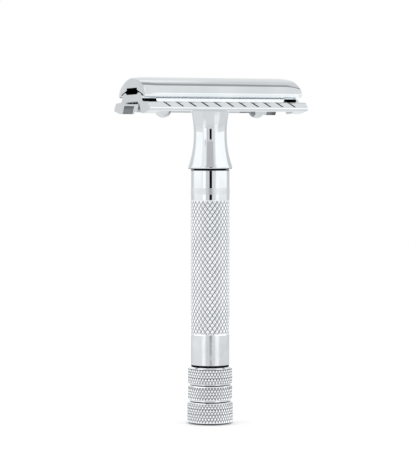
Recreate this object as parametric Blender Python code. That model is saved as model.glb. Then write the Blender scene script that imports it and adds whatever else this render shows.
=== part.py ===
"""Double-edge safety razor with a twist knob, each metal piece as its own closed solid.

Sizes below are in millimetres and are turned into metres when a mesh is made. The origin is the centre
of the knob's foot, +Z runs up the handle to the head, +X runs along the head and -Y is the front.
Turning the knob turns the drive rod and its threaded sleeve, which draws the cap's stud down.
"""
import math

import bmesh
import bpy
from mathutils import Matrix, Vector

MM = 0.001

# Gaps and clearances
JOINT_GAP = 0.3
COLLAR_RADIUS = 4.6
COLLAR_HEIGHT = 0.2
FIT = 0.1
RUNNING = 0.05

# Knob, from its foot up
KNOB_TOP_Z = 13.95
KNOB_RADII = (5.45, 5.45, 5.58)
KNOB_BAND_TOPS = (13.45, 9.1, 5.08)
KNOB_BAND_BOTTOMS = (9.88, 5.98, 0.45)
KNOB_GROOVE_RADIUS = 5.05
KNOB_CHAMFER = 0.5
KNOB_STEP = 0.12
KNOB_TOP_RADIUS = 4.8
KNOB_FOOT_RADIUS = 4.9
PLUG_RECESS_RADIUS = 3.2
PLUG_RECESS_TOP = 3.6
WASHER_RECESS_RADIUS = 2.95
WASHER_RECESS_BOTTOM = 12.8
THRUST_WASHER_SINK = 0.45
KEY_ROOT = 0.4

# Handle tube and its bushings
TUBE_RADIUS = 4.75
TUBE_BORE = 3.0
TUBE_BOTTOM = KNOB_TOP_Z + JOINT_GAP
TUBE_TOP = 61.65
TENON_RADIUS = 3.9
TENON_BOTTOM = 57.0
TUBE_CHAMFER = 0.12
LOWER_BUSHING_LENGTH = 7.0

# Neck: one arc below its waist and one above it
NECK_BOTTOM = TUBE_TOP + JOINT_GAP
NECK_MAX_RADIUS = 5.39
NECK_WAIST_RADIUS = 4.07
NECK_WAIST_Z = 70.4
NECK_LOWER_ARC = 23.6
NECK_UPPER_ARC = 26.0
NECK_RIM_Z = 62.55
NECK_EDGE = 0.25
NECK_BORE = 3.25
NECK_BORE_TOP = 70.6
STUD_BORE = 2.75
SPIGOT_RADIUS = 3.55
SPIGOT_SETBACK = 0.05

# Drive rod and threaded sleeve
ROD_RADIUS = 1.75
ROD_BOTTOM = 4.0
ROD_TOP = 63.2
ROD_CHAMFER = 0.2
ROD_FLAT = 1.3
ROD_FLAT_TOP = 9.0
ROD_TAPPED_RADIUS = 1.3
ROD_TAPPED_TOP = 9.6
SLEEVE_RADIUS = 3.15
SLEEVE_BOTTOM = 58.7
SLEEVE_TOP = 70.0
SLEEVE_THREAD_BOTTOM = 63.35
SLEEVE_THREAD_RADIUS = 2.6
BUSHING_TOP = 58.1

# Head: base plate
HEAD_LENGTH = 40.0
PLATE_CEILING = 77.55
PLATE_HALF_WIDTH = 13.62
RIDGE_TOP = 80.18
RIDGE_SIDE = (
    (4.6, 80.15), (5.3, RIDGE_TOP), (6.1, 80.08), (6.8, 79.82),
    (7.3, 79.5), (7.42, 78.75), (7.9, 78.2), (8.7, 78.0),
)
TROUGH_HALF_WIDTH = 3.8
TROUGH_FLOOR = 79.75
SLOT_HALF_LENGTH = 16.4
SLOT_INNER = 7.36
SLOT_OUTER = 9.2
UNDER_CLEARING = 0.05
BAR_TOP = 77.9
BAR_FLAT_Y = 11.9
BAR_BOTTOM = 75.7
BAR_SLOPE = 42.0
SLOPE_TOP = (12.3, 77.75)
NOSE_RADIUS = 0.5
NOSE_Z = 76.34
NOSE_END = -60
FOOT_UNDERSIDE = ((9.3, 75.25), (7.2, 75.2))
CEILING_HALF_WIDTH = 5.4
FOOT_START = 17.0
NOTCH_START = 18.2
NOTCH_HALF_WIDTH = 4.7
NOTCH_CEILING = 78.0
GROOVE_COUNT = 11
GROOVE_PITCH = 3.156
GROOVE_HALF_WIDTH = 0.26
GROOVE_DEPTH = 0.36
GROOVE_SKEW = 1.9
GROOVE_LENGTH = 1.44
GROOVE_RUN_OUT = 0.9

# Head: locating posts and the bosses that take them
POST_X = 12.1
POST_RADIUS = 1.2
POST_BOTTOM = 75.9
POST_HOLE_RADIUS = 1.4
POST_HOLE_BOTTOM = 75.55
BOSS_RADIUS = 2.05
BOSS_CENTRE_Z = 76.3
BOSS_ROOT_Z = 78.05

# Head: cap
CAP_TOP = 84.0
CAP_TOP_ARC = 18.0
CAP_TOP_SWING = 28.5
CAP_SIDE_ARC = 4.1
CAP_SIDE_SWING = 64.0
CAP_CORNER_ARC = 0.5
CAP_LIP_Z = 79.1
CAP_LIP_Y = 9.95
CAP_LIP_EDGE = 0.08
BLADE_BED_Y = 9.4
CAP_END_FILLET = 0.35
CHANNEL_ROOF = 81.35
CHANNEL_HALF_WIDTH = 3.9
CHANNEL_MOUTH_Y = 4.6
CHANNEL_MOUTH_Z = 80.62
CHANNEL_STEP = 0.25
BLADE_ARC = 26.0

# Cap stud
STUD_RADIUS = 2.5
STUD_TOP = 82.4
STUD_BOTTOM = 63.6
STUD_LEAD = 0.6
POST_NOSE = 0.4

# The screw and plug in the knob's foot
SCREW_BOTTOM = 2.2
SCREW_HEAD_RADIUS = 2.7
SCREW_RADIUS = 1.1
SCREW_CHAMFER = 0.3
SCREW_CLEARANCE = 0.8
SCREW_SLOT_WIDTH = 0.7
SCREW_SLOT_DEPTH = 0.55
PLUG_BOTTOM = 0.35
PLUG_TOP = 1.9
PLUG_CHAMFER = 0.3

# Number of segments round a small hole, a turned piece and a large turned piece
ROUGH = 16
COARSE = 24
FINE = 48

# How far below and above the head its cutters reach
UNDER_HEAD = 70.0
OVER_HEAD = 82.0
BESIDE_HEAD = 15.0


def clear_scene():
    for obj in list(bpy.data.objects):
        bpy.data.objects.remove(obj, do_unlink=True)


def make_material(name, colour, roughness):
    material = bpy.data.materials.new(name)
    material.use_nodes = True
    shader = material.node_tree.nodes["Principled BSDF"]
    shader.inputs["Base Color"].default_value = (*colour, 1.0)
    shader.inputs["Metallic"].default_value = 1.0
    shader.inputs["Roughness"].default_value = roughness
    material.diffuse_color = (*colour, 1.0)
    return material


def chrome():
    return make_material("chrome", (0.80, 0.82, 0.84), 0.08)


def brass():
    return make_material("brass", (0.78, 0.60, 0.28), 0.30)


def steel():
    return make_material("steel", (0.56, 0.57, 0.58), 0.28)


def make_object(name, bm, material, body=None):
    """Turns a bmesh in millimetres into an object in metres that rides on a body's empty."""
    bmesh.ops.recalc_face_normals(bm, faces=bm.faces)
    bmesh.ops.scale(bm, vec=Vector((MM, MM, MM)), verts=bm.verts)
    mesh = bpy.data.meshes.new(name)
    bm.to_mesh(mesh)
    bm.free()
    obj = bpy.data.objects.new(name, mesh)
    bpy.context.scene.collection.objects.link(obj)
    if material:
        mesh.materials.append(material)
    mesh.shade_smooth()
    mesh.set_sharp_from_angle(angle=math.radians(28))
    obj.parent = body
    return obj


def make_body(name):
    """An empty on the razor's axis, which every joint of the razor shares."""
    empty = bpy.data.objects.new(name, None)
    empty.empty_display_size = 0.01
    bpy.context.scene.collection.objects.link(empty)
    return empty


def arc(centre, radius, start, end, steps):
    """Points on an arc, with both its ends; angles in degrees, anticlockwise from the first axis."""
    points = []
    for i in range(steps + 1):
        angle = math.radians(start + (end - start) * i / steps)
        points.append((centre[0] + radius * math.cos(angle), centre[1] + radius * math.sin(angle)))
    return points


def turned(profile, segments, closed=True, centre=(0.0, 0.0)):
    """A bmesh made by spinning (radius, z) points about a vertical axis."""
    bm = bmesh.new()
    verts = [bm.verts.new((r, 0.0, z)) for r, z in profile]
    pairs = list(zip(verts, verts[1:]))
    if closed:
        pairs.append((verts[-1], verts[0]))
    edges = [bm.edges.new(pair) for pair in pairs]
    bmesh.ops.spin(
        bm, geom=verts + edges, cent=(0, 0, 0), axis=(0, 0, 1),
        angle=2 * math.pi, steps=segments, use_merge=True,
    )
    bmesh.ops.remove_doubles(bm, verts=bm.verts, dist=1e-5)
    bmesh.ops.translate(bm, vec=Vector((centre[0], centre[1], 0.0)), verts=bm.verts)
    return bm


def extruded(outline, x_start, x_end):
    """A bmesh of a (y, z) outline extruded along X."""
    bm = bmesh.new()
    face = bm.faces.new([bm.verts.new((x_start, y, z)) for y, z in outline])
    made = bmesh.ops.extrude_face_region(bm, geom=[face])
    moved = [item for item in made["geom"] if isinstance(item, bmesh.types.BMVert)]
    bmesh.ops.translate(bm, vec=Vector((x_end - x_start, 0, 0)), verts=moved)
    return bm


def mirrored(half):
    """A closed outline from its +Y half, whose first and last points lie on the Z axis."""
    return half + [(-y, z) for y, z in reversed(half[1:-1])]


def add_box(bm, low, high):
    size = [b - a for a, b in zip(low, high)]
    middle = [(a + b) / 2 for a, b in zip(low, high)]
    matrix = Matrix.Translation(middle) @ Matrix.Diagonal((*size, 1.0))
    bmesh.ops.create_cube(bm, size=1.0, matrix=matrix)


def add_cylinder(bm, centre, radius, bottom, top, segments=COARSE):
    middle = Vector((centre[0], centre[1], (bottom + top) / 2))
    bmesh.ops.create_cone(
        bm, cap_ends=True, segments=segments, radius1=radius, radius2=radius,
        depth=top - bottom, matrix=Matrix.Translation(middle),
    )


def combine(target, operation, name, bm):
    """A Boolean modifier on target, whose other object is a hidden helper."""
    helper = make_object(name, bm, None)
    helper.hide_render = True
    helper.display_type = "WIRE"
    modifier = target.modifiers.new(name, "BOOLEAN")
    modifier.operation = operation
    modifier.solver = "EXACT"
    modifier.object = helper


# Head ------------------------------------------------------------------------------------------------

def cap_outline(inset):
    """Cross-section of the cap: three arcs, each tighter than the last, over a channel. inset moves them in."""
    half = []
    centre = Vector((0.0, CAP_TOP - CAP_TOP_ARC))
    start = 90.0
    arcs = (
        (CAP_TOP_ARC, 90 - CAP_TOP_SWING, 10), (CAP_SIDE_ARC, 90 - CAP_SIDE_SWING, 6), (CAP_CORNER_ARC, -8, 4),
    )
    for index, (radius, end, steps) in enumerate(arcs):
        half += arc(centre, radius - inset, start, end, steps)[min(index, 1):]
        if index + 1 < len(arcs):
            turn = math.radians(end)
            centre = centre + Vector((math.cos(turn), math.sin(turn))) * (radius - arcs[index + 1][0])
        start = end
    half.append((CAP_LIP_Y - inset, CAP_LIP_Z + CAP_LIP_EDGE))
    half.append((CAP_LIP_Y - CAP_END_FILLET, CAP_LIP_Z))
    blade_centre_z = CHANNEL_MOUTH_Z - math.sqrt(BLADE_ARC**2 - CHANNEL_MOUTH_Y**2)
    for i in range(5):
        y = BLADE_BED_Y + (CHANNEL_MOUTH_Y - BLADE_BED_Y) * i / 4
        half.append((y, blade_centre_z + math.sqrt(BLADE_ARC**2 - y**2)))
    half += [
        (CHANNEL_HALF_WIDTH, CHANNEL_MOUTH_Z + CHANNEL_STEP), (CHANNEL_HALF_WIDTH, CHANNEL_ROOF),
        (0.0, CHANNEL_ROOF),
    ]
    return mirrored(half)


def make_cap(body, material):
    """The cap, lofted along X through outlines that shrink at each end to round its outer edges."""
    end = HEAD_LENGTH / 2
    steps = (0, 30, 60, 90)
    turn = [math.radians(angle) for angle in steps]
    near = [(CAP_END_FILLET * (1 - math.sin(a)), CAP_END_FILLET * (1 - math.cos(a))) for a in turn]
    stations = [(-end + dx, inset) for inset, dx in near]
    stations += [(-x, inset) for x, inset in reversed(stations)]
    bm = bmesh.new()
    rings = []
    for x, inset in stations:
        rings.append([bm.verts.new((x, y, z)) for y, z in cap_outline(inset)])
    for ring, following in zip(rings, rings[1:]):
        for i in range(len(ring)):
            j = (i + 1) % len(ring)
            bm.faces.new((ring[i], ring[j], following[j], following[i]))
    bm.faces.new(rings[0])
    bm.faces.new(rings[-1])
    cap = make_object("cap", bm, material, body)
    holes = bmesh.new()
    add_cylinder(holes, (0, 0), STUD_RADIUS + FIT, CHANNEL_ROOF - 1, STUD_TOP + FIT, 2 * ROUGH)
    for side in (-1, 1):
        add_cylinder(holes, (side * POST_X, 0), POST_RADIUS + FIT, CHANNEL_ROOF - 1, STUD_TOP + FIT, ROUGH)
    combine(cap, "DIFFERENCE", "cap_holes", holes)


def make_cap_stud(body, material):
    """The threaded stud, drawn at its thread's outside diameter."""
    profile = [
        (0.0, STUD_TOP), (STUD_RADIUS, STUD_TOP), (STUD_RADIUS, STUD_BOTTOM + STUD_LEAD),
        (STUD_RADIUS - STUD_LEAD, STUD_BOTTOM), (0.0, STUD_BOTTOM),
    ]
    make_object("cap_stud", turned(profile, COARSE, closed=False), material, body)


def make_locating_post(side, name, body, material):
    """One of the two posts that pass through the blade's holes and keep cap and plate in line."""
    profile = [
        (0.0, STUD_TOP), (POST_RADIUS, STUD_TOP), (POST_RADIUS, POST_BOTTOM + POST_NOSE),
        (POST_RADIUS - POST_NOSE, POST_BOTTOM), (0.0, POST_BOTTOM),
    ]
    bm = turned(profile, ROUGH, closed=False, centre=(side * POST_X, 0.0))
    make_object(name, bm, material, body)


def plate_outline():
    """Cross-section of the plate at its ends: clamping pad, drain ledge, safety bar and foot."""
    half = [
        (0.0, TROUGH_FLOOR), (TROUGH_HALF_WIDTH, TROUGH_FLOOR), *RIDGE_SIDE, (BAR_FLAT_Y, BAR_TOP), SLOPE_TOP,
    ]
    half += arc((PLATE_HALF_WIDTH - NOSE_RADIUS, NOSE_Z), NOSE_RADIUS, 90 - BAR_SLOPE, NOSE_END, 6)
    half += [*FOOT_UNDERSIDE, (CEILING_HALF_WIDTH, PLATE_CEILING), (0.0, PLATE_CEILING)]
    return mirrored(half)


def slots_outline():
    """Cross-section of the cutter that opens a drain slot on each side of the pad and clears under it."""
    ceiling = PLATE_CEILING + UNDER_CLEARING
    right = [
        (SLOT_OUTER, UNDER_HEAD), (SLOT_OUTER, OVER_HEAD), (SLOT_INNER, OVER_HEAD), (SLOT_INNER, ceiling),
    ]
    return right + [(-y, z) for y, z in reversed(right)]


def groove_bars(bm):
    """Triangular bars that cut the grooves across both safety bars, alike after half a turn."""
    slope = math.radians(BAR_SLOPE)
    down = Vector((0.0, -math.cos(slope), -math.sin(slope)))
    top = Vector((0.0, -SLOPE_TOP[0], SLOPE_TOP[1]))
    bottom = top + down * GROOVE_LENGTH
    outward = Vector((0.0, down.z, -down.y))
    for half_turn in (0, 1):
        spin = Matrix.Rotation(math.pi * half_turn, 4, "Z")
        for i in range(GROOVE_COUNT):
            x = (i - (GROOVE_COUNT - 1) / 2) * GROOVE_PITCH
            start = Vector((x - GROOVE_SKEW / 2, 0, 0)) + top - GROOVE_RUN_OUT * down
            stop = Vector((x + GROOVE_SKEW / 2, 0, 0)) + bottom
            rings = []
            for point in (start, stop):
                corners = (
                    point - outward * GROOVE_DEPTH,
                    point + outward * GROOVE_DEPTH + Vector((2 * GROOVE_HALF_WIDTH, 0, 0)),
                    point + outward * GROOVE_DEPTH - Vector((2 * GROOVE_HALF_WIDTH, 0, 0)),
                )
                rings.append([bm.verts.new(spin @ corner) for corner in corners])
            bm.faces.new(rings[0])
            bm.faces.new(rings[1])
            for a, b in ((0, 1), (1, 2), (2, 0)):
                bm.faces.new((rings[0][a], rings[0][b], rings[1][b], rings[1][a]))


def make_base_plate(body, material):
    end = HEAD_LENGTH / 2
    plate = make_object("base_plate", extruded(plate_outline(), -end, end), material, body)
    openings = bmesh.new()
    add_box(openings, (-FOOT_START, -BESIDE_HEAD, UNDER_HEAD), (FOOT_START, BESIDE_HEAD, BAR_BOTTOM))
    for side in (-1, 1):
        near, far = sorted((side * NOTCH_START, side * (end + 1)))
        add_box(openings, (near, -NOTCH_HALF_WIDTH, BAR_BOTTOM + 1), (far, NOTCH_HALF_WIDTH, NOTCH_CEILING))
    combine(plate, "DIFFERENCE", "under_cut", openings)
    slots = extruded(slots_outline(), -SLOT_HALF_LENGTH, SLOT_HALF_LENGTH)
    combine(plate, "DIFFERENCE", "drain_slots", slots)
    for side in (-1, 1):
        dome = arc((0.0, BOSS_CENTRE_Z), BOSS_RADIUS, -90, 0, 5)
        dome[0] = (0.0, BOSS_CENTRE_Z - BOSS_RADIUS)
        profile = dome + [(BOSS_RADIUS, BOSS_ROOT_Z), (0.0, BOSS_ROOT_Z)]
        boss = turned(profile, COARSE, closed=False, centre=(side * POST_X, 0.0))
        combine(plate, "UNION", f"boss_{side}", boss)
    holes = bmesh.new()
    add_cylinder(holes, (0, 0), SPIGOT_RADIUS + FIT, UNDER_HEAD, OVER_HEAD, 2 * ROUGH)
    for side in (-1, 1):
        add_cylinder(holes, (side * POST_X, 0), POST_HOLE_RADIUS, POST_HOLE_BOTTOM, OVER_HEAD, ROUGH)
    combine(plate, "DIFFERENCE", "plate_holes", holes)
    grooves = bmesh.new()
    groove_bars(grooves)
    combine(plate, "DIFFERENCE", "bar_grooves", grooves)


# Handle ----------------------------------------------------------------------------------------------

def neck_outside():
    """(radius, z) points up the neck: a concave arc to the waist, then a shallower one to the plate."""
    points = [(NECK_MAX_RADIUS - NECK_EDGE, NECK_BOTTOM), (NECK_MAX_RADIUS, NECK_BOTTOM + NECK_EDGE)]
    steps = 8
    for i in range(steps):
        z = NECK_RIM_Z + (NECK_WAIST_Z - NECK_RIM_Z) * i / steps
        sag = NECK_LOWER_ARC - math.sqrt(NECK_LOWER_ARC**2 - (NECK_WAIST_Z - z) ** 2)
        points.append((NECK_WAIST_RADIUS + sag, z))
    top = PLATE_CEILING - FIT
    for i in range(steps + 1):
        z = NECK_WAIST_Z + (top - NECK_WAIST_Z) * i / steps
        sag = NECK_UPPER_ARC - math.sqrt(NECK_UPPER_ARC**2 - (z - NECK_WAIST_Z) ** 2)
        points.append((NECK_WAIST_RADIUS + sag, z))
    return points


def make_neck(body, material):
    """The flared neck: a tenon in the tube below, a spigot through the base plate above."""
    spigot_top = TROUGH_FLOOR - SPIGOT_SETBACK
    outside = neck_outside()
    profile = outside + [
        (SPIGOT_RADIUS, outside[-1][1]), (SPIGOT_RADIUS, spigot_top), (STUD_BORE, spigot_top),
        (STUD_BORE, NECK_BORE_TOP), (NECK_BORE, NECK_BORE_TOP), (NECK_BORE, TENON_BOTTOM),
        (TENON_RADIUS, TENON_BOTTOM), (TENON_RADIUS, NECK_BOTTOM - COLLAR_HEIGHT),
        (COLLAR_RADIUS, NECK_BOTTOM - COLLAR_HEIGHT), (COLLAR_RADIUS, NECK_BOTTOM),
    ]
    make_object("neck", turned(profile, FINE), material, body)


def make_handle_tube(body, material):
    profile = [
        (TUBE_BORE, TUBE_BOTTOM), (TUBE_RADIUS - TUBE_CHAMFER, TUBE_BOTTOM),
        (TUBE_RADIUS, TUBE_BOTTOM + TUBE_CHAMFER), (TUBE_RADIUS, TUBE_TOP - TUBE_CHAMFER),
        (TUBE_RADIUS - TUBE_CHAMFER, TUBE_TOP), (TENON_RADIUS + FIT, TUBE_TOP),
        (TENON_RADIUS + FIT, TENON_BOTTOM - FIT), (TUBE_BORE, TENON_BOTTOM - FIT),
    ]
    make_object("handle_tube", turned(profile, FINE), material, body)


def make_ring(name, inner, outer, bottom, top, body, material):
    profile = [(inner, bottom), (outer, bottom), (outer, top), (inner, top)]
    make_object(name, turned(profile, COARSE), material, body)


def make_bushings(body, material):
    """Two plain bearings keep the rod central, with a washer on each, where the sleeve and knob turn."""
    inner = ROD_RADIUS + RUNNING
    make_ring("upper_bushing", inner, NECK_BORE - FIT, TENON_BOTTOM, BUSHING_TOP, body, material)
    bottom = TUBE_BOTTOM + FIT
    make_ring(
        "lower_bushing", inner, TUBE_BORE - FIT, bottom, bottom + LOWER_BUSHING_LENGTH, body, material,
    )


def make_washers(body, material):
    inner = ROD_RADIUS + FIT
    make_ring(
        "sleeve_washer", inner, NECK_BORE - FIT, BUSHING_TOP + FIT, SLEEVE_BOTTOM - FIT, body, material,
    )
    make_ring(
        "thrust_washer", inner, WASHER_RECESS_RADIUS - FIT,
        KNOB_TOP_Z - THRUST_WASHER_SINK, TUBE_BOTTOM - FIT / 2, body, material,
    )


# Turning parts ---------------------------------------------------------------------------------------

def make_wave_washer(body, material):
    """A springy ring with three waves that takes up the knob's end play."""
    inner, outer, thickness, wave, count = 1.9, 2.8, 0.15, 0.12, 36
    middle = WASHER_RECESS_BOTTOM + FIT / 2 + wave
    bm = bmesh.new()
    rings = []
    for i in range(count):
        angle = 2 * math.pi * i / count
        z = middle + wave * math.sin(3 * angle)
        corners = ((inner, z), (outer, z), (outer, z + thickness), (inner, z + thickness))
        rings.append([bm.verts.new((r * math.cos(angle), r * math.sin(angle), h)) for r, h in corners])
    for i, ring in enumerate(rings):
        following = rings[(i + 1) % count]
        for k in range(4):
            m = (k + 1) % 4
            bm.faces.new((ring[k], ring[m], following[m], following[k]))
    make_object("wave_washer", bm, material, body)


def make_drive_rod(body, material):
    """The rod from knob to sleeve, with two flats and a tapped hole at its foot."""
    profile = [
        (0.0, ROD_BOTTOM), (ROD_RADIUS, ROD_BOTTOM), (ROD_RADIUS, ROD_TOP - ROD_CHAMFER),
        (ROD_RADIUS - ROD_CHAMFER, ROD_TOP), (0.0, ROD_TOP),
    ]
    rod = make_object("drive_rod", turned(profile, COARSE, closed=False), material, body)
    cuts = bmesh.new()
    for side in (-1, 1):
        low, high = sorted((side * ROD_FLAT, side * (ROD_RADIUS + 1)))
        add_box(cuts, (-ROD_RADIUS - 1, low, ROD_BOTTOM - 1), (ROD_RADIUS + 1, high, ROD_FLAT_TOP))
    add_cylinder(cuts, (0, 0), ROD_TAPPED_RADIUS - FIT, ROD_BOTTOM - 1, ROD_TAPPED_TOP, ROUGH)
    combine(rod, "DIFFERENCE", "rod_cuts", cuts)


def make_thread_sleeve(body, material):
    """The sleeve fixed on the rod's top, whose threaded socket draws the cap's stud down."""
    rod_bore = ROD_RADIUS + FIT / 2
    profile = [
        (rod_bore, SLEEVE_BOTTOM), (SLEEVE_RADIUS, SLEEVE_BOTTOM), (SLEEVE_RADIUS, SLEEVE_TOP),
        (SLEEVE_THREAD_RADIUS, SLEEVE_TOP), (SLEEVE_THREAD_RADIUS, SLEEVE_THREAD_BOTTOM),
        (rod_bore, SLEEVE_THREAD_BOTTOM),
    ]
    make_object("thread_sleeve", turned(profile, COARSE), material, body)


def knob_outside():
    """(radius, z) points down the knob: three broad bands, each with a chamfer above and a step below."""
    points = []
    for radius, top, bottom in zip(KNOB_RADII, KNOB_BAND_TOPS, KNOB_BAND_BOTTOMS):
        above = (KNOB_GROOVE_RADIUS, top + KNOB_CHAMFER) if points else (KNOB_TOP_RADIUS, KNOB_TOP_Z)
        points += [above, (radius, top), (radius, bottom)]
        if bottom != KNOB_BAND_BOTTOMS[-1]:
            points.append((KNOB_GROOVE_RADIUS, bottom - KNOB_STEP))
    points.append((KNOB_FOOT_RADIUS, 0.0))
    return points


def make_knob(body, material):
    """The knob, bored for the rod, with a double-D seat, a washer recess above and a screw recess below."""
    bore = ROD_RADIUS + RUNNING
    collar_top = KNOB_TOP_Z + COLLAR_HEIGHT
    profile = [(COLLAR_RADIUS, collar_top), (COLLAR_RADIUS, KNOB_TOP_Z)] + knob_outside() + [
        (PLUG_RECESS_RADIUS, 0.0), (PLUG_RECESS_RADIUS, PLUG_RECESS_TOP), (bore, PLUG_RECESS_TOP),
        (bore, WASHER_RECESS_BOTTOM), (WASHER_RECESS_RADIUS, WASHER_RECESS_BOTTOM),
        (WASHER_RECESS_RADIUS, collar_top),
    ]
    knob = make_object("knob", turned(profile, FINE), material, body)
    for side in (-1, 1):
        key = bmesh.new()
        low, high = sorted((side * (ROD_FLAT + RUNNING), side * (bore + KEY_ROOT)))
        add_box(key, (-bore - KEY_ROOT, low, PLUG_RECESS_TOP), (bore + KEY_ROOT, high, ROD_FLAT_TOP - FIT))
        combine(knob, "UNION", f"key_{side}", key)


def make_knob_screw(body, material):
    """The slotted screw that holds the knob on the rod."""
    head_top = PLUG_RECESS_TOP - FIT
    end = ROD_TAPPED_TOP - SCREW_CLEARANCE
    profile = [
        (0.0, SCREW_BOTTOM), (SCREW_HEAD_RADIUS - SCREW_CHAMFER, SCREW_BOTTOM),
        (SCREW_HEAD_RADIUS, SCREW_BOTTOM + SCREW_CHAMFER), (SCREW_HEAD_RADIUS, head_top),
        (SCREW_RADIUS, head_top), (SCREW_RADIUS, end), (0.0, end),
    ]
    screw = make_object("knob_screw", turned(profile, COARSE, closed=False), material, body)
    slot = bmesh.new()
    reach = SCREW_HEAD_RADIUS + 1
    half = SCREW_SLOT_WIDTH / 2
    add_box(slot, (-reach, -half, SCREW_BOTTOM - 1), (reach, half, SCREW_BOTTOM + SCREW_SLOT_DEPTH))
    combine(screw, "DIFFERENCE", "screw_slot", slot)


def make_knob_plug(body, material):
    """The disc pressed into the knob's foot, set back a little so that the knob's rim is what stands."""
    radius = PLUG_RECESS_RADIUS - FIT
    profile = [
        (0.0, PLUG_BOTTOM), (radius - PLUG_CHAMFER, PLUG_BOTTOM), (radius, PLUG_BOTTOM + PLUG_CHAMFER),
        (radius, PLUG_TOP), (0.0, PLUG_TOP),
    ]
    make_object("knob_plug", turned(profile, COARSE, closed=False), material, body)


def main():
    clear_scene()
    handle = make_body("handle_body")
    turning = make_body("knob_axis")
    lifting = make_body("cap_axis")
    plated = chrome()
    bearing = brass()
    hardware = steel()
    make_cap(lifting, plated)
    make_cap_stud(lifting, bearing)
    make_locating_post(-1, "locating_post_left", lifting, plated)
    make_locating_post(1, "locating_post_right", lifting, plated)
    make_base_plate(handle, plated)
    make_neck(handle, plated)
    make_handle_tube(handle, plated)
    make_bushings(handle, bearing)
    make_washers(handle, hardware)
    make_wave_washer(turning, hardware)
    make_drive_rod(turning, hardware)
    make_thread_sleeve(turning, bearing)
    make_knob(turning, plated)
    make_knob_screw(turning, hardware)
    make_knob_plug(turning, plated)


main()
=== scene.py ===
"""Looks for the double-edge safety razor: chrome pieces with real knurling, in a plain white light tent."""
import math

import bmesh
import bpy
import numpy as np
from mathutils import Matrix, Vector


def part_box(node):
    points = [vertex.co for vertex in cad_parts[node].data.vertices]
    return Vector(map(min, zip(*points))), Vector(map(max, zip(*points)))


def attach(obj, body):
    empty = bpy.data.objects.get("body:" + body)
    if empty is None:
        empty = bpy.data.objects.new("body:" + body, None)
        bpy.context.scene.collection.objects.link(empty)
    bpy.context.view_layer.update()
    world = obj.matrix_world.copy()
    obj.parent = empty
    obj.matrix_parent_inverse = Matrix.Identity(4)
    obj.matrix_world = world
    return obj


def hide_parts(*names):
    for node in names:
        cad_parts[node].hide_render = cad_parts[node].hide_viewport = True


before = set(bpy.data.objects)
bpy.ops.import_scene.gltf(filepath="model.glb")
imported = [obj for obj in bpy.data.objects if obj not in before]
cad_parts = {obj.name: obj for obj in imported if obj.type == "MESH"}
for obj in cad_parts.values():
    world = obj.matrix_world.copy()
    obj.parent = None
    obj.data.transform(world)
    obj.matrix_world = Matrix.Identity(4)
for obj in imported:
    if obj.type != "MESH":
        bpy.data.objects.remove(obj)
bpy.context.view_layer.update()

MM = 0.001
TURN = 2 * math.pi

# Camera: how far off and how far round it stands, its eye height, and the point it looks at
CAMERA_DISTANCE = 0.5155
CAMERA_AZIMUTH = math.radians(20.42)
EYE_HEIGHT = 66.45 * MM
AIM_RIGHT = -1.36 * MM
AIM_HEIGHT = 46.6 * MM
LENS = 164.6

# Knurling: starts each way, height of one diamond and depth; then the share of a diamond that stays flat
TUBE_STARTS = 26
TUBE_DIAMOND = 1.61 * MM
TUBE_DEPTH = 0.2 * MM
KNOB_STARTS = 46
KNOB_DIAMOND = 1.36 * MM
KNOB_DEPTH = 0.155 * MM
FLAT_SHARE = 0.34

# Mesh cells in one diamond
TUBE_CELLS = 10
KNOB_ROWS = 9
KNOB_COLUMNS = 8

# The mesh attribute that says how deep in a cut each point lies, and the colour of the dirt and painted shade
# there
HOLLOW = "hollow"
DIRT_AND_SHADE = (0.035, 0.04, 0.045)

# The noise behind each metal's tone and polish, and the height of its finest relief
TONE_SCALE = 160
POLISH_SCALE = 420
RELIEF_HEIGHT = 0.02 * MM

# The gap at each end of the tube, and the collar inside it, which gets painted shade
JOINT = 0.3 * MM
COLLAR = 4.6 * MM

# Edges sharper than this many degrees stay edges
EDGE_ANGLE = 28

# Each guard bar, inwards and down from the plate's outer corner, and the way its slanting grooves run
BAR_WIDTH = 2.2 * MM
BAR_DROP = 3.8 * MM
BAR_END = 0.5 * MM
GROOVE_RUN = (1.32, 0.56, -0.50)

# The flats between the pad and the bars
SLOT_FLAT = 8.9 * MM, 12.0 * MM
SLOT_DROP = 2.6 * MM

# The domes under the plate
DOME_REACH = 8.0 * MM, 15.5 * MM
DOME_TOP = 76.5 * MM

# The trough on top of the pad
TROUGH_HALF_WIDTH = 5.35 * MM
TROUGH_DEPTH = 0.5 * MM

# The walls of the hollow under the pad, and where they are rough with painted shade: beyond x and below z
HOLLOW_WALL = 4.5 * MM, 7.6 * MM
ROUGH_SHADE_FROM = 17.46 * MM
ROUGH_SHADE_TOP = 77.15 * MM

# The cap's outer arcs from its crown down: radius, the angle each ends at in degrees, and steps
CAP_ARCS = ((18.0 * MM, 61.5, 28), (4.1 * MM, 26.0, 16), (0.5 * MM, -8.0, 8))
CAP_CROWN = 90.0

# The cap's lips: outer edge, width, the height of the edge, and the inner wall
LIP_Y = 9.95 * MM
LIP_WIDTH = 0.55 * MM
LIP_EDGE = 0.08 * MM
LIP_WALL = 9.4 * MM

# The cap's curved blade bed, the channel along its middle, and how far out the painted shade on the bed
# reaches
BED_RADIUS = 26.0 * MM
BED_STEPS = 4
MOUTH_Y = 4.6 * MM
MOUTH_Z = 80.62 * MM
CHANNEL_Y = 3.9 * MM
CHANNEL_STEP = 0.25 * MM
CHANNEL_TOP = 81.35 * MM
DARK_BED = 7.9 * MM

# The cap's ends: a slow roll-off, then a tight rounding
ROLL_LENGTH = 3.2 * MM
ROLL_DEPTH = 0.26 * MM
ROLL_STEPS = 12
END_ROUNDING = 0.2 * MM
END_STEPS = 6

# The handle tube
TUBE_KNURL = 22.0 * MM, 54.1 * MM
TUBE_WALL = 1.75 * MM
TENON = 4.0 * MM
TENON_DROP = 0.1 * MM
TUBE_EDGE = 0.12 * MM
TUBE_FADE = 0.25 * MM
DULL_RING = 55.8 * MM, 57.3 * MM

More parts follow.
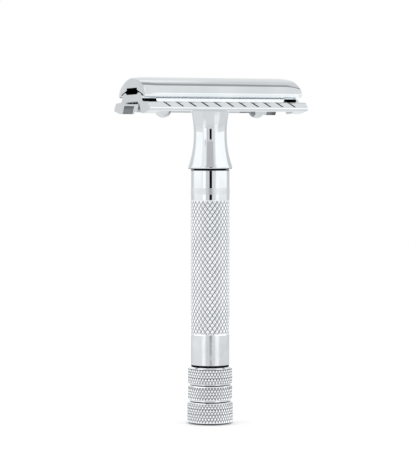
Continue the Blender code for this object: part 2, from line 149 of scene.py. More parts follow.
# The knob's three bands from the top down, the grooves between them, and its foot
BAND_RADIUS = 5.45 * MM
BAND_TOPS = 13.45 * MM, 9.1 * MM, 5.08 * MM
BAND_BOTTOMS = 9.88 * MM, 5.98 * MM, 0.45 * MM
BAND_GROOVE = 5.05 * MM
BAND_CHAMFER = 0.5 * MM
BAND_STEP = 0.12 * MM
KNOB_FOOT = 4.9 * MM

# The knob's hollows: the tube's spigot, the rod's bore and the screw's recess
SPIGOT_RADIUS = 2.95 * MM
SPIGOT_FLOOR = 12.8 * MM
ROD_BORE = 1.8 * MM
SCREW_RECESS = 3.2 * MM
SCREW_FLOOR = 3.6 * MM

# The neck: its waist, the radii of its flares, its rounded rim and its bores
WAIST_RADIUS = 4.07 * MM
WAIST_Z = 70.4 * MM
RIM_Z = 62.55 * MM
RIM_ROUNDING = 0.25 * MM
RIM_STEPS = 5
LOWER_FLARE = 23.6 * MM
UPPER_FLARE = 26.0 * MM
NECK_TOP = 77.45 * MM
NECK_SPIGOT = 3.55 * MM
NECK_BORE = 2.75 * MM
NECK_SOCKET = 3.25 * MM
SOCKET_TOP = 70.6 * MM
NECK_TENON = 3.9 * MM
COLLAR_HEIGHT = 0.2 * MM
NECK_STEP = 0.3 * MM
NECK_COLUMNS = 160

# The stud's thread
PITCH = 0.8 * MM
THREAD_DEPTH = 0.42 * MM
THREAD_LEAD = 0.6 * MM
THREAD_FROM_TOP = 1.6 * MM
STUD_CORE = 0.3 * MM
STUD_COLUMNS = 64

# Floor disc
FLOOR_RADIUS = 0.33
FLOOR_SINK = 0.02 * MM


# Materials -------------------------------------------------------------------------------------------

def new_nodes(name):
    material = bpy.data.materials.new(name)
    material.use_nodes = True
    tree = material.node_tree
    return material, tree, tree.nodes["Principled BSDF"]


def noise(tree, scale, detail, stretch=(1, 1, 1)):
    """A noise texture in the object's own metres, stretched along its axes."""
    place = tree.nodes.new("ShaderNodeTexCoord")
    mapping = tree.nodes.new("ShaderNodeMapping")
    mapping.inputs["Scale"].default_value = stretch
    texture = tree.nodes.new("ShaderNodeTexNoise")
    texture.inputs["Scale"].default_value = scale
    texture.inputs["Detail"].default_value = detail
    tree.links.new(place.outputs["Object"], mapping.inputs["Vector"])
    tree.links.new(mapping.outputs["Vector"], texture.inputs["Vector"])
    return texture.outputs["Fac"]


def remap(tree, source, low_in, high_in, low_out, high_out):
    node = tree.nodes.new("ShaderNodeMapRange")
    node.inputs["From Min"].default_value = low_in
    node.inputs["From Max"].default_value = high_in
    node.inputs["To Min"].default_value = low_out
    node.inputs["To Max"].default_value = high_out
    tree.links.new(source, node.inputs["Value"])
    return node.outputs["Result"]


def two_tones(tree, factor, dark, light):
    node = tree.nodes.new("ShaderNodeMix")
    node.data_type = "RGBA"
    node.inputs["A"].default_value = (*dark, 1)
    node.inputs["B"].default_value = (*light, 1)
    tree.links.new(factor, node.inputs["Factor"])
    return node.outputs["Result"]


def darken_hollows(tree, colour, dirt_and_shade):
    """The colour darkened in the deeper parts of each cut: dirt, and painted shade where the cuts shade
    themselves.
    """
    hollow = tree.nodes.new("ShaderNodeAttribute")
    hollow.attribute_name = HOLLOW
    darkened = tree.nodes.new("ShaderNodeMix")
    darkened.data_type = "RGBA"
    tree.links.new(remap(tree, hollow.outputs["Fac"], 0.5, 0.95, 0, dirt_and_shade), darkened.inputs["Factor"])
    tree.links.new(colour, darkened.inputs["A"])
    darkened.inputs["B"].default_value = (*DIRT_AND_SHADE, 1)
    return darkened.outputs["Result"]


def metal(name, tones, rough, bump, grain=900, stretch=(1, 1, 1), dirt_and_shade=0.0, plating=1.0):
    """Metal with slow changes of tone and polish, a fine finishing relief, and dirt and painted shade in its
    hollows.
    """
    material, tree, shader = new_nodes(name)
    shader.inputs["Metallic"].default_value = plating
    shader.inputs["Specular IOR Level"].default_value = 0.5 * plating
    tone = remap(tree, noise(tree, TONE_SCALE, 3, stretch), 0.35, 0.65, 0, 1)
    colour = two_tones(tree, tone, *tones)
    if dirt_and_shade:
        colour = darken_hollows(tree, colour, dirt_and_shade)
    tree.links.new(colour, shader.inputs["Base Color"])
    polish = remap(tree, noise(tree, POLISH_SCALE, 4, stretch), 0.35, 0.7, *rough)
    tree.links.new(polish, shader.inputs["Roughness"])
    relief = tree.nodes.new("ShaderNodeBump")
    relief.inputs["Strength"].default_value = bump
    relief.inputs["Distance"].default_value = RELIEF_HEIGHT
    tree.links.new(noise(tree, grain, 3, stretch), relief.inputs["Height"])
    tree.links.new(relief.outputs["Normal"], shader.inputs["Normal"])
    return material


def make_metals():
    """One material for each finish and for the painted shade, light and highlights, from two tones and a
    range of roughness.
    """
    chrome = (0.69, 0.725, 0.75), (0.74, 0.77, 0.79)
    worn = (0.68, 0.71, 0.73), (0.78, 0.80, 0.82)
    satin = (0.66, 0.69, 0.71), (0.78, 0.80, 0.82)
    # Painted highlight: the knurled chrome is lighter than the plain chrome so that its facets glint brighter
    knurl_highlight = (0.84, 0.87, 0.89), (0.92, 0.94, 0.96)
    # Painted highlight: a lighter chrome for the slot flats and the edge under each lip
    bright = (0.92, 0.95, 0.97), (0.95, 0.97, 0.99)
    # Painted light with a dull finish: a pale, unplated grey for the inner wall of each lip
    dull = (0.72, 0.75, 0.77), (0.84, 0.86, 0.88)
    # Painted shade: near black, for the cap's channel, the pad's slopes under it and the gaps at the handle's
    # joints
    shade_black = (0.004, 0.005, 0.006), (0.012, 0.014, 0.016)
    # Painted shade: dark chrome for the shaded wall of each bar groove and the steps under the knob's bands
    darkened = (0.02, 0.025, 0.03), (0.07, 0.08, 0.09)
    # Painted shade with a rough finish: mottled dark grey for the hollow's end walls and the domes' flanks
    # facing the neck
    rough_shade = (0.10, 0.11, 0.12), (0.45, 0.48, 0.50)
    steel = (0.50, 0.51, 0.52), (0.62, 0.63, 0.64)
    brass = (0.66, 0.49, 0.22), (0.80, 0.63, 0.32)
    turned = {"bump": 0.3, "grain": 600, "stretch": (1, 1, 8)}
    return {
        "mirror": metal("mirror_chrome", chrome, (0.02, 0.06), bump=0.05),
        "cast": metal("plated_casting", chrome, (0.04, 0.10), bump=0.10),
        "worn": metal("worn_chrome", worn, (0.06, 0.20), bump=0.3, grain=260),
        # The knurl's valleys darken with dirt and painted shade
        "knurled": metal("knurled_chrome", knurl_highlight, (0.03, 0.10), bump=0.15, dirt_and_shade=0.95),
        "shadow": metal("painted_shade", shade_black, (0.7, 0.9), bump=0.2, plating=0.0),
        "groove": metal("painted_groove_shade", darkened, (0.3, 0.5), bump=0.2),
        "rough": metal("rough_painted_shade", rough_shade, (0.35, 0.6), bump=0.6, grain=1500),
        "dull": metal("dull_painted_light", dull, (0.5, 0.7), bump=0.2, plating=0.0),
        "bright": metal("painted_highlight", bright, (0.03, 0.06), bump=0.05),
        "satin": metal("satin_chrome", satin, (0.24, 0.34), bump=0.2, grain=700),
        "steel": metal("turned_steel", steel, (0.18, 0.32), **turned),
        "brass": metal("turned_brass", brass, (0.16, 0.30), **turned),
    }


# Mesh helpers ----------------------------------------------------------------------------------------

def add_object(name, mesh, material):
    obj = bpy.data.objects.new(name, mesh)
    bpy.context.scene.collection.objects.link(obj)
    mesh.materials.clear()
    mesh.materials.append(material)
    return obj


def paint(piece, material, test):
    """Gives the material to the piece's faces for which test, given their centre and normal, is true."""
    mesh = piece.data
    index = mesh.materials.find(material.name)
    if index < 0:
        index = len(mesh.materials)
        mesh.materials.append(material)
    for face in mesh.polygons:
        if test(face.center, face.normal):
            face.material_index = index


def circle_angles(columns):
    return np.arange(columns) * TURN / columns


def grid_faces(rows, columns):
    """Quads of a grid whose rows and columns both close on themselves."""
    row = np.arange(rows)[:, None]
    column = np.arange(columns)[None, :]
    next_row = (row + 1) % rows
    next_column = (column + 1) % columns
    corners = (
        row * columns + column, row * columns + next_column,
        next_row * columns + next_column, next_row * columns + column,
    )
    return np.stack(np.broadcast_arrays(*corners), axis=-1).reshape(-1, 4)


def ring_mesh(name, rows, columns, sharp_rows=(), relief=None, depth=1.0):
    """A closed turned body from a closed loop of (radius, z) rows; relief adds to each radius."""
    radius = np.array([r for r, _ in rows])[:, None]
    height = np.array([z for _, z in rows])[:, None]
    angle = circle_angles(columns)[None, :]
    cut = np.zeros((len(rows), columns))
    if relief is not None:
        cut = cut + relief(angle, height, radius)
    reach = radius + cut
    points = np.stack([reach * np.cos(angle), reach * np.sin(angle), height + 0 * reach], axis=-1)
    mesh = bpy.data.meshes.new(name)
    mesh.from_pydata(points.reshape(-1, 3).tolist(), [], grid_faces(len(rows), columns).tolist())
    mesh.update()
    mesh.shade_smooth()
    mark_sharp_rows(mesh, columns, set(sharp_rows))
    hollow = mesh.attributes.new(HOLLOW, "FLOAT", "POINT")
    hollow.data.foreach_set("value", (-cut / depth).reshape(-1))
    return mesh


def mark_sharp_rows(mesh, columns, sharp_rows):
    """Marks the rings of edges along the given rows, where the surface turns sharply."""
    ends = np.zeros(len(mesh.edges) * 2, np.int32)
    mesh.edges.foreach_get("vertices", ends)
    rows = ends.reshape(-1, 2) // columns
    sharp = (rows[:, 0] == rows[:, 1]) & np.isin(rows[:, 0], list(sharp_rows))
    attribute = mesh.attributes.new("sharp_edge", "BOOLEAN", "EDGE")
    attribute.data.foreach_set("value", sharp)


def corner(points, r, z):
    """Adds a point where the surface turns sharply, and returns its row."""
    points.append((r, z))
    return len(points) - 1


def diamond_cut(angle, z, starts, diamond, depth):
    """Depth below the surface of a diamond knurl: two families of V grooves leave flat-topped diamonds."""
    across = starts * angle / TURN
    along = z / diamond
    from_groove = [0.5 - np.abs(phase % 1.0 - 0.5) for phase in (across + along, across - along)]
    inside = np.minimum(*from_groove) / (0.5 * (1 - FLAT_SHARE))
    return -depth * np.clip(1 - inside, 0, 1)


def window(z, low, high, soft):
    """1 between low and high, fading to 0 over soft outside each end."""
    rise = np.clip((z - low) / soft + 1, 0, 1)
    fall = np.clip((high - z) / soft + 1, 0, 1)
    return np.minimum(rise, fall)


def even_steps(low, high, step):
    count = max(1, round((high - low) / step))
    return [low + (high - low) * i / count for i in range(count + 1)]


def between(value, limits):
    return limits[0] < value < limits[1]


def outside(value, limits):
    return not between(value, limits)


# Pieces ----------------------------------------------------------------------------------------------

def plate_mesh():
    """The CAD plate's mesh with its facets joined, cut where the rough walls with painted shade start."""
    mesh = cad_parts["base_plate"].data.copy()
    mesh.name = "plate_shell"
    bm = bmesh.new()
    bm.from_mesh(mesh)
    bmesh.ops.remove_doubles(bm, verts=bm.verts, dist=1e-6)
    flat = math.radians(0.3)
    bmesh.ops.dissolve_limit(bm, angle_limit=flat, verts=bm.verts, edges=bm.edges, delimit=set())
    left = (-ROUGH_SHADE_FROM, 0, 0), (1, 0, 0)
    right = (ROUGH_SHADE_FROM, 0, 0), (1, 0, 0)
    level = (0, 0, ROUGH_SHADE_TOP), (0, 0, 1)
    for place, direction in (left, right, level):
        whole = [*bm.verts, *bm.edges, *bm.faces]
        bmesh.ops.bisect_plane(bm, geom=whole, plane_co=place, plane_no=direction)
    bm.to_mesh(mesh)
    bm.free()
    for attribute in ("custom_normal", "sharp_face"):
        if attribute in mesh.attributes:
            mesh.attributes.remove(mesh.attributes[attribute])
    mesh.shade_smooth()
    mesh.set_sharp_from_angle(angle=math.radians(EDGE_ANGLE))
    return mesh


def make_plate(metals):
    """The base plate: the CAD node's shape with softened edges, a finish for each part of it, and painted
    shade and highlights.
    """
    mesh = plate_mesh()
    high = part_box("base_plate")[1]
    sharpen_grooves(mesh, high)
    plate = add_object("plate_shell", mesh, metals["cast"])
    # Painted shade on the wall of each bar groove that faces back along the bar
    paint(plate, metals["groove"], lambda centre, normal: groove_shadow(centre, normal, high))
    # Painted shade, with a rough finish, on the end walls of the hollow under the pad
    paint(plate, metals["rough"], under_hollow)
    # Painted shade on the pad's slopes under the cap's channel
    paint(plate, metals["shadow"], lambda centre, normal: in_trough(centre, normal, high))
    # Painted shade, with a rough finish, on the domes' flanks that face the neck
    paint(plate, metals["rough"], dome_shade)
    # Painted highlight on the flats between the pad and the bars
    paint(plate, metals["bright"], lambda centre, normal: slot_floor(centre, normal, high))
    bevel = plate.modifiers.new("soft_edges", "BEVEL")
    bevel.width = 0.04 * MM
    bevel.segments = 2
    bevel.limit_method = "ANGLE"
    bevel.angle_limit = math.radians(EDGE_ANGLE)
    bevel.use_clamp_overlap = True
    bevel.harden_normals = True
    return plate


def on_guard_bar(place, high):
    """True on either guard bar, where the slanting grooves are."""
    return abs(place.y) > high.y - BAR_WIDTH and place.z > high.z - BAR_DROP


def sharpen_grooves(mesh, high):
    """Keeps reflections on the bars from bending at the ends of the grooves."""
    if "sharp_edge" not in mesh.attributes:
        mesh.attributes.new("sharp_edge", "BOOLEAN", "EDGE")
    sharp = mesh.attributes["sharp_edge"].data
    for edge in mesh.edges:
        start, end = (mesh.vertices[index].co for index in edge.vertices)
        across = abs((end - start).normalized().x) < 0.97
        if across and on_guard_bar((start + end) / 2, high):
            sharp[edge.index].value = True


def groove_shadow(centre, normal, high):
    """True for the wall of each groove that faces back along the bar, which gets painted shade."""
    if not on_guard_bar(centre, high) or abs(centre.x) > high.x - BAR_END:
        return False
    side = -1 if centre.y < 0 else 1
    sideways, outwards, down = GROOVE_RUN
    along = Vector((-side * sideways, side * outwards, down)).normalized()
    return normal.x * side > 0.25 and abs(normal.dot(along)) < 0.6


def slot_floor(centre, normal, high):
    """True for the flats between the pad and the bars, which get a painted highlight."""
    return normal.z > 0.9 and between(abs(centre.y), SLOT_FLAT) and centre.z > high.z - SLOT_DROP


def dome_shade(centre, normal):
    """True for the flank of each dome that faces the neck, which gets painted shade with a rough finish."""
    on_dome = between(abs(centre.x), DOME_REACH) and centre.z < DOME_TOP
    facing = normal.x * (1 if centre.x < 0 else -1)
    return on_dome and facing > 0.5 and between(normal.z, (-0.85, -0.08))


def in_trough(centre, normal, high):
    """True for the slopes on top of the pad, which lie in the dark of the cap's channel."""
    in_pad = abs(centre.y) < TROUGH_HALF_WIDTH and centre.z > high.z - TROUGH_DEPTH
    return in_pad and between(normal.z, (0.1, 0.95))


def under_hollow(centre, normal):
    """True near the ends of the hollow under the pad, whose walls get a rough finish with painted shade."""
    wall = abs(centre.x) > ROUGH_SHADE_FROM and between(abs(centre.y), HOLLOW_WALL)
    return wall and centre.z < ROUGH_SHADE_TOP and normal.y * centre.y < 0


def cap_outline(inset):
    """Cross-section of the cap as (y, z) points, its outer side moved in by inset."""
    low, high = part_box("cap")
    centre = Vector((0.0, high.z - CAP_ARCS[0][0]))
    start = CAP_CROWN
    half = []
    for index, (radius, end, steps) in enumerate(CAP_ARCS):
        for i in range(min(index, 1), steps + 1):
            angle = math.radians(start + (end - start) * i / steps)
            half.append(centre + Vector((math.cos(angle), math.sin(angle))) * (radius - inset))
        if index + 1 < len(CAP_ARCS):
            turn = math.radians(end)
            next_radius = CAP_ARCS[index + 1][0]
            centre = centre + Vector((math.cos(turn), math.sin(turn))) * (radius - next_radius)
        start = end
    half.append(Vector((LIP_Y - inset, low.z + LIP_EDGE)))
    half.append(Vector((LIP_Y - LIP_WIDTH, low.z)))
    bed_centre = MOUTH_Z - math.sqrt(BED_RADIUS**2 - MOUTH_Y**2)
    for i in range(BED_STEPS + 1):
        y = LIP_WALL + (MOUTH_Y - LIP_WALL) * i / BED_STEPS
        half.append(Vector((y, bed_centre + math.sqrt(BED_RADIUS**2 - y**2))))
    half.append(Vector((CHANNEL_Y, MOUTH_Z + CHANNEL_STEP)))
    half.append(Vector((CHANNEL_Y, CHANNEL_TOP)))
    half.append(Vector((0, CHANNEL_TOP)))
    return half + [Vector((-p.x, p.y)) for p in reversed(half[1:-1])]


def cap_stations():
    """(x, inset) along the cap: level in the middle, rolling off slowly and then sharply to each end."""
    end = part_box("cap")[1].x
    stations = []
    for i in range(ROLL_STEPS + 1):
        x = end - END_ROUNDING - (ROLL_LENGTH - END_ROUNDING) * i / ROLL_STEPS
        stations.append((x, ROLL_DEPTH * (1 - (end - x) / ROLL_LENGTH) ** 2))
    tight = stations[0][1]
    rounding = []
    for i in range(1, END_STEPS + 1):
        turn = math.pi / 2 * i / END_STEPS
        x = end - END_ROUNDING + END_ROUNDING * math.sin(turn)
        rounding.append((x, tight + END_ROUNDING * (1 - math.cos(turn))))
    right = rounding[::-1] + stations
    return [(-x, inset) for x, inset in right] + right[::-1]


def make_cap(metals):
    """The cap, lofted so that its long arc is smooth and its ends roll off as polishing leaves them."""
    stations = cap_stations()
    points = []
    for x, inset in stations:
        outline = cap_outline(inset)
        points += [(x, p.x, p.y) for p in outline]
    count = len(outline)
    faces = [tuple(range(count)), tuple(range(len(points) - 1, len(points) - count - 1, -1))]
    for row in range(len(stations) - 1):
        here, there = row * count, (row + 1) * count
        for i in range(count):
            j = (i + 1) % count
            faces.append((here + i, there + i, there + j, here + j))
    mesh = bpy.data.meshes.new("cap_shell")
    mesh.from_pydata(points, [], faces)
    bm = bmesh.new()
    bm.from_mesh(mesh)
    bmesh.ops.recalc_face_normals(bm, faces=bm.faces)
    bmesh.ops.triangulate(bm, faces=[face for face in bm.faces if len(face.verts) > 4])
    bm.to_mesh(mesh)
    bm.free()
    mesh.shade_smooth()
    mesh.set_sharp_from_angle(angle=math.radians(EDGE_ANGLE))
    cap = add_object("cap_shell", mesh, metals["mirror"])
    above_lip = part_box("cap")[0].z + 0.1 * MM
    # Painted shade on the middle of the blade bed and the channel
    paint(cap, metals["shadow"], lambda centre, normal: centre.z > above_lip and is_underside(centre, normal))
    # Painted light, with a dull finish, on the inner wall of each lip
    paint(cap, metals["dull"], is_lip_wall)
    # Painted highlight along the outer edge under each lip
    paint(cap, metals["bright"], is_lip_edge)
    return cap


def faces_inwards(centre, normal, share):
    """True for a face that looks towards the middle of the head, at least by the given share."""
    return normal.y * centre.y < -share * abs(centre.y)


def is_lip_edge(centre, normal):
    """True for the outer edge under each lip, which gets a painted highlight."""
    return abs(centre.y) > LIP_WALL + 0.1 * MM and normal.z < -0.3


def is_lip_wall(centre, normal):
    """True for the inner wall of each lip, which gets painted light with a dull finish."""
    return abs(abs(centre.y) - LIP_WALL) < 0.1 * MM and faces_inwards(centre, normal, 0.9)


def is_underside(centre, normal):
    """True for the middle of the blade bed and the channel, which face down or inwards and get painted shade.
    """
    inside = abs(normal.x) < 0.5 and abs(centre.y) < DARK_BED
    return inside and (normal.z < -0.2 or faces_inwards(centre, normal, 0.2))


def tube_rows(low, high, radius):
    """The tube's section as a closed loop of (radius, z), with its sharp rows."""
    knurl_low, knurl_high = TUBE_KNURL
    bore = radius - TUBE_WALL
    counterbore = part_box("neck")[0].z - TENON_DROP
    hold = 0.03 * MM
    margin = 0.3 * MM
    beyond = 0.36 * MM
    rows = []
    sharp = [corner(rows, bore, low.z)]
    rows.append((radius - TUBE_EDGE, low.z))
    rows.append((radius, low.z + TUBE_EDGE))
    rows.append((radius, low.z + TUBE_EDGE + hold))
    rows.append((radius, knurl_low - beyond))
    for z in even_steps(knurl_low - margin, knurl_high + margin, TUBE_DIAMOND / TUBE_CELLS):
        rows.append((radius, z))
    for z in (knurl_high + beyond, *DULL_RING):
        rows.append((radius, z))
    rows.append((radius, high.z - TUBE_EDGE - hold))
    rows.append((radius, high.z - TUBE_EDGE))
    rows.append((radius - TUBE_EDGE, high.z))
    for r, z in ((TENON, high.z), (TENON, counterbore), (bore, counterbore)):
        sharp.append(corner(rows, r, z))
    return rows, sharp


def make_tube(metals):
    """The handle tube: diamond knurling between two plain ends, the lower one dulled by wear."""
    low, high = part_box("handle_tube")
    radius = high.x
    rows, sharp = tube_rows(low, high, radius)

    def relief(angle, z, r):
        cut = diamond_cut(angle, z, TUBE_STARTS, TUBE_DIAMOND, TUBE_DEPTH)
        return cut * window(z, *TUBE_KNURL, TUBE_FADE) * (r > radius - 0.5 * TUBE_EDGE)

    mesh = ring_mesh("handle_shell", rows, TUBE_STARTS * TUBE_CELLS, sharp, relief, TUBE_DEPTH)
    tube = add_object("handle_shell", mesh, metals["knurled"])
    margin = 0.35 * MM
    worn_top = TUBE_KNURL[0] - margin
    plain_bottom = TUBE_KNURL[1] + margin
    middle = low.z + 2 * TUBE_EDGE, high.z - 2 * TUBE_EDGE
    paint(tube, metals["worn"], lambda centre, normal: centre.z < worn_top)
    paint(tube, metals["mirror"], lambda centre, normal: centre.z > plain_bottom)
    paint(tube, metals["satin"], lambda centre, normal: between(centre.z, DULL_RING))
    # Painted shade on the tube's end chamfers and faces, in the joints with the knob and the neck
    paint(tube, metals["shadow"], lambda centre, normal: abs(normal.z) > 0.3 and outside(centre.z, middle))
    return tube


def knob_rows(high, radii, top_face):
    """The knob's section from its hollow, over the top and down the bands, with its sharp rows."""
    rows = []
    sharp = []
    for r, z in ((ROD_BORE, SPIGOT_FLOOR), (SPIGOT_RADIUS, SPIGOT_FLOOR), (SPIGOT_RADIUS, high.z),
                 (COLLAR, high.z), (COLLAR, top_face)):
        sharp.append(corner(rows, r, z))
    rows.append((COLLAR + 0.1 * MM, top_face))
    rows.append((COLLAR + 0.2 * MM, top_face - 0.06 * MM))
    for index, (radius, top, bottom) in enumerate(zip(radii, BAND_TOPS, BAND_BOTTOMS)):
        if index:
            sharp.append(corner(rows, BAND_GROOVE, top + BAND_CHAMFER))
        rows.append((radius - 0.04 * MM, top + 0.05 * MM))
        for z in reversed(even_steps(bottom, top, KNOB_DIAMOND / KNOB_ROWS)):
            rows.append((radius, z))
        if index < 2:
            sharp.append(corner(rows, BAND_GROOVE, bottom - BAND_STEP))
    rows.append((KNOB_FOOT + 0.05 * MM, 0.03 * MM))
    rows.append((KNOB_FOOT - 0.05 * MM, 0.0))
    for r, z in ((SCREW_RECESS, 0.0), (SCREW_RECESS, SCREW_FLOOR), (ROD_BORE, SCREW_FLOOR)):
        sharp.append(corner(rows, r, z))
    rows.reverse()
    return rows, [len(rows) - 1 - index for index in sharp]


def make_knob(metals):
    """The knob: three knurled bands, each with a bright chamfer above it."""
    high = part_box("knob")[1]
    radii = (BAND_RADIUS, BAND_RADIUS, high.x)
    top_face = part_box("handle_tube")[0].z - JOINT
    rows, sharp = knob_rows(high, radii, top_face)

    def relief(angle, z, r):
        cut = diamond_cut(angle, z, KNOB_STARTS, KNOB_DIAMOND, KNOB_DEPTH)
        total = np.zeros_like(cut)
        for radius, top, bottom in zip(radii, BAND_TOPS, BAND_BOTTOMS):
            band = window(z, bottom + 0.1 * MM, top - 0.12 * MM, 0.1 * MM)
            total = total + cut * band * (np.abs(r - radius) < 0.02 * MM)
        return total

    mesh = ring_mesh("knob_shell", rows, KNOB_STARTS * KNOB_COLUMNS, sharp, relief, KNOB_DEPTH)
    knob = add_object("knob_shell", mesh, metals["knurled"])
    # Painted shade on the collar and the hollow above the top face, inside the joint under the tube
    paint(knob, metals["shadow"], lambda centre, normal: centre.z > top_face + 0.01 * MM)
    # Painted shade on the steps under the bands and the edge of the foot
    paint(knob, metals["groove"], under_band)
    return knob


def under_band(centre, normal):
    """True for the steps under the knob's bands and the edge of its foot, which get painted shade."""
    return normal.z < -0.25 and centre.xy.length > 4.8 * MM


def neck_rows(low, high, bottom):
    """The neck's section from its tenon, up over the rim and the two flares and down its bores."""
    collar_foot = bottom - COLLAR_HEIGHT
    rows = []
    sharp = []
    for r, z in ((NECK_SOCKET, low.z), (NECK_TENON, low.z), (NECK_TENON, collar_foot),
                 (COLLAR, collar_foot), (COLLAR, bottom)):
        sharp.append(corner(rows, r, z))
    for i in range(RIM_STEPS + 1):
        angle = math.pi / 2 * i / RIM_STEPS
        r = high.x - RIM_ROUNDING + RIM_ROUNDING * math.sin(angle)
        rows.append((r, bottom + RIM_ROUNDING - RIM_ROUNDING * math.cos(angle)))
    for z in even_steps(RIM_Z, WAIST_Z, NECK_STEP)[:-1]:
        rows.append((WAIST_RADIUS + LOWER_FLARE - math.sqrt(LOWER_FLARE**2 - (WAIST_Z - z) ** 2), z))
    for z in even_steps(WAIST_Z, NECK_TOP, NECK_STEP):
        rows.append((WAIST_RADIUS + UPPER_FLARE - math.sqrt(UPPER_FLARE**2 - (z - WAIST_Z) ** 2), z))
    sharp.append(len(rows) - 1)
    for r, z in ((NECK_SPIGOT, NECK_TOP), (NECK_SPIGOT, high.z), (NECK_BORE, high.z),
                 (NECK_BORE, SOCKET_TOP), (NECK_SOCKET, SOCKET_TOP)):
        sharp.append(corner(rows, r, z))
    return rows, sharp


def make_neck(metals):
    """The flared neck, its two arcs finely divided so that reflections run smoothly over it."""
    low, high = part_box("neck")
    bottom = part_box("handle_tube")[1].z + JOINT
    rows, sharp = neck_rows(low, high, bottom)
    mesh = ring_mesh("neck_shell", rows, NECK_COLUMNS, sharp)
    neck = add_object("neck_shell", mesh, metals["mirror"])
    rim_top = bottom + RIM_ROUNDING
    # Painted shade in the joint under the rim: the tenon, the collar and the rim's rounded underside
    paint(neck, metals["shadow"], lambda centre, normal: centre.z < bottom - 0.01 * MM)
    paint(neck, metals["shadow"], lambda centre, normal: normal.z < -0.7 and centre.z < rim_top)
    return neck


def make_stud(metals):
    """The cap's stud with its real thread, seen when the cap is raised."""
    low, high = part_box("cap_stud")
    radius = high.x
    rows = [(STUD_CORE, low.z)]
    rows += [(radius, z) for z in even_steps(low.z + 0.01 * MM, high.z - 1.2 * MM, PITCH / 9)]
    rows += [(radius, high.z), (STUD_CORE, high.z)]

    def relief(angle, z, r):
        phase = (z / PITCH - angle / TURN) % 1.0
        ridge = np.clip(np.abs(phase - 0.5) * 2.6 - 0.15, 0, 1)
        taper = np.clip(1 - (z - low.z) / THREAD_LEAD, 0, 1) * THREAD_LEAD
        cut = -THREAD_DEPTH * ridge * window(z, low.z, high.z - THREAD_FROM_TOP, 0.3 * MM)
        return np.minimum(cut, -taper) * (r > radius - 0.01 * MM)

    ends = (0, len(rows) - 1, len(rows) - 2)
    mesh = ring_mesh("stud_thread", rows, STUD_COLUMNS, ends, relief)
    return add_object("stud_thread", mesh, metals["brass"])


# Stage -----------------------------------------------------------------------------------------------

def make_floor():
    """A disc of white paper, lit a little from within and left out of reflections, which the tent gives."""
    bm = bmesh.new()
    bmesh.ops.create_circle(bm, cap_ends=True, segments=96, radius=FLOOR_RADIUS)
    mesh = bpy.data.meshes.new("floor")
    bm.to_mesh(mesh)
    bm.free()
    material, _, shader = new_nodes("white_paper")
    shader.inputs["Roughness"].default_value = 0.9
    shader.inputs["Base Color"].default_value = (0.93, 0.93, 0.93, 1)
    shader.inputs["Emission Color"].default_value = (1, 1, 1, 1)
    shader.inputs["Emission Strength"].default_value = 0.22
    floor = add_object("floor", mesh, material)
    floor.location.z = -FLOOR_SINK
    floor.visible_glossy = False


def math_node(tree, operation, *values):
    """A sum on numbers and sockets, in any mix."""
    node = tree.nodes.new("ShaderNodeMath")
    node.operation = operation
    for socket, value in zip(node.inputs, values):
        if isinstance(value, (int, float)):
            socket.default_value = value
        else:
            tree.links.new(value, socket)
    return node.outputs[0]


def soft_window(tree, source, middle, half, soft):
    """1 within half of middle, falling to 0 over soft beyond it."""
    offset = math_node(tree, "SUBTRACT", source, middle)
    distance = math_node(tree, "ABSOLUTE", offset)
    return remap(tree, distance, half, half + soft, 1, 0)


def round_window(tree, azimuth, middle, half, soft):
    """The same, for an angle that wraps round at 180 degrees."""
    offset = math_node(tree, "SUBTRACT", azimuth, middle)
    wrapped = math_node(tree, "WRAP", offset, 180, -180)
    distance = math_node(tree, "ABSOLUTE", wrapped)
    return remap(tree, distance, half, half + soft, 1, 0)


def hang_panel(tree, brightness, azimuth, elevation, panel):
    """Lays one panel of the tent over what hangs behind it."""
    left, right, low, high, level, soft = panel
    across = round_window(tree, azimuth, (left + right) / 2, (right - left) / 2 - soft / 2, soft)
    upright = soft_window(tree, elevation, (low + high) / 2, (high - low) / 2 - soft / 2, soft)
    node = tree.nodes.new("ShaderNodeMix")
    tree.links.new(math_node(tree, "MULTIPLY", across, upright), node.inputs["Factor"])
    tree.links.new(brightness, node.inputs["A"])
    node.inputs["B"].default_value = level
    return node.outputs["Result"]


# The light tent, back to front: (left, right, low, high, brightness, softness of its edges).
# Left and right are degrees round from the lens, low and high degrees above level.
TENT = (
    (-116, -44, -4, 90, 1.30, 8),
    (-52, -44, -4, 40, 1.12, 4),
    (36, 118, -4, 44, 1.32, 8),
    (-180, -50, -30, -1.2, 1.02, 0.8),
    (53, 180, -30, -1.2, 0.97, 0.8),
    (-150, -112, -90, 40, 0.80, 16),
    (118, 165, -90, 40, 0.76, 14),
    (-42, -26, -8, 7, 1.36, 3),
    (-44, -27, 7, 40, 1.12, 5),
    (-26, -21, -8, 24, 0.95, 3),
    (-22, 24, 7, 39, 0.62, 6),
    (20, 31, -4, 39, 0.86, 4),
    (-21, -15, -7, 8, 0.66, 3),
    (-15, -8, -7, 8, 0.86, 3),
    (13, 28, -6, 8, 0.92, 3),
    (30, 34, -4, 30, 1.02, 4),
    (-8, 13, -5.0, 6, 0.62, 3),
    (-3, 11, -5.1, 7, 0.0, 1.2),
    (-180, 180, -12, -5.2, 0.84, 0.8),
    (-50, -32, -12, -5.2, 1.3, 3),
    (30, 54, -12, -5.2, 1.3, 3),
    (-34, -30, 7, 14, 0.62, 2),
    (-180, 180, -90, -9, 0.90, 3),
    (-48, -26, -13, -8, 1.08, 4),
    (28, 62, -19, -8, 1.10, 5),
    (70, 130, -90, -4, 0.86, 5),
    (-130, -50, -90, -4, 0.95, 5),
    (155, 175, 17, 52, 0.80, 2.5),
    (172, 200, 5, 34, 0.90, 3),
    (120, 240, 45.0, 54.0, 0.42, 2.0),
)
OPEN_TENT = 1.12
ROOF = (-180, 180, 40, 90, 0.96, 8)


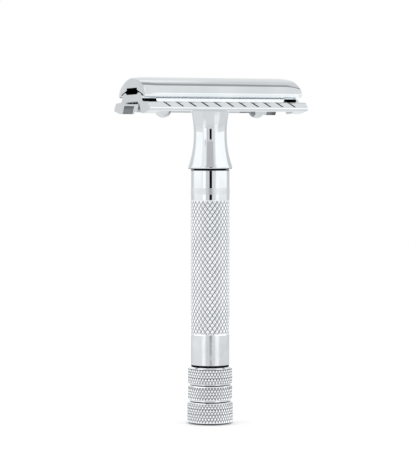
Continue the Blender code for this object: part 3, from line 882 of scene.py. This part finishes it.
def make_light_tent():
    """A white tent of bright and greyer panels with a dark lens opening, seen only in reflections."""
    world = bpy.data.worlds.new("light_tent")
    bpy.context.scene.world = world
    world.use_nodes = True
    tree = world.node_tree
    tree.nodes.clear()
    place = tree.nodes.new("ShaderNodeTexCoord")
    turn = tree.nodes.new("ShaderNodeVectorRotate")
    turn.rotation_type = "Z_AXIS"
    turn.inputs["Angle"].default_value = CAMERA_AZIMUTH + math.pi / 2
    tree.links.new(place.outputs["Generated"], turn.inputs["Vector"])
    split = tree.nodes.new("ShaderNodeSeparateXYZ")
    tree.links.new(turn.outputs["Vector"], split.inputs["Vector"])
    x, y, z = split.outputs
    azimuth = math_node(tree, "MULTIPLY", math_node(tree, "ARCTAN2", y, x), math.degrees(1))
    elevation = math_node(tree, "MULTIPLY", math_node(tree, "ARCSINE", z), math.degrees(1))
    start = tree.nodes.new("ShaderNodeValue")
    start.outputs[0].default_value = OPEN_TENT
    brightness = start.outputs[0]
    for panel in (ROOF, *TENT):
        brightness = hang_panel(tree, brightness, azimuth, elevation, panel)

    tent = tree.nodes.new("ShaderNodeBackground")
    tree.links.new(brightness, tent.inputs["Strength"])
    plain = tree.nodes.new("ShaderNodeBackground")
    plain.inputs["Strength"].default_value = 1.0
    path = tree.nodes.new("ShaderNodeLightPath")
    pick = tree.nodes.new("ShaderNodeMixShader")
    out = tree.nodes.new("ShaderNodeOutputWorld")
    for background in (tent, plain):
        background.inputs["Color"].default_value = (1, 1, 1, 1)
    tree.links.new(path.outputs["Is Camera Ray"], pick.inputs[0])
    tree.links.new(tent.outputs[0], pick.inputs[1])
    tree.links.new(plain.outputs[0], pick.inputs[2])
    tree.links.new(pick.outputs[0], out.inputs["Surface"])


def make_camera():
    """The lens stands level with the head's underside and looks a little down at the razor's middle."""
    right = Vector((math.cos(CAMERA_AZIMUTH), -math.sin(CAMERA_AZIMUTH), 0))
    back = Vector((-math.sin(CAMERA_AZIMUTH), -math.cos(CAMERA_AZIMUTH), 0))
    data = bpy.data.cameras.new("camera")
    data.sensor_width = 36
    data.lens = LENS
    data.clip_start = 0.01
    camera = bpy.data.objects.new("camera", data)
    bpy.context.scene.collection.objects.link(camera)
    camera.location = back * CAMERA_DISTANCE + Vector((0, 0, EYE_HEIGHT))
    aim = right * AIM_RIGHT + Vector((0, 0, AIM_HEIGHT))
    camera.rotation_mode = "QUATERNION"
    camera.rotation_quaternion = (aim - camera.location).to_track_quat("-Z", "Y")
    bpy.context.scene.camera = camera


def main():
    bpy.context.scene.view_settings.view_transform = "Standard"
    make_camera()
    make_floor()
    make_light_tent()
    metals = make_metals()
    pieces = (
        (make_tube(metals), "handle", "handle_tube", "chrome"),
        (make_neck(metals), "handle", "neck", "chrome"),
        (make_knob(metals), "knob", "knob", "chrome"),
        (make_cap(metals), "cap", "cap", "chrome"),
        (make_plate(metals), "handle", "base_plate", "chrome"),
        (make_stud(metals), "cap", "cap_stud", "brass"),
    )
    for piece, body, node, slot in pieces:
        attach(piece, body)
        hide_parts(node)
    finishes = {
        "brass": ("upper_bushing", "lower_bushing", "thread_sleeve"),
        "steel": ("sleeve_washer", "thrust_washer", "wave_washer", "drive_rod", "knob_screw"),
        "mirror": ("locating_post_left", "locating_post_right", "knob_plug"),
    }
    for finish, nodes in finishes.items():
        for node in nodes:
            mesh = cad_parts[node].data
            mesh.materials.clear()
            mesh.materials.append(metals[finish])


main()
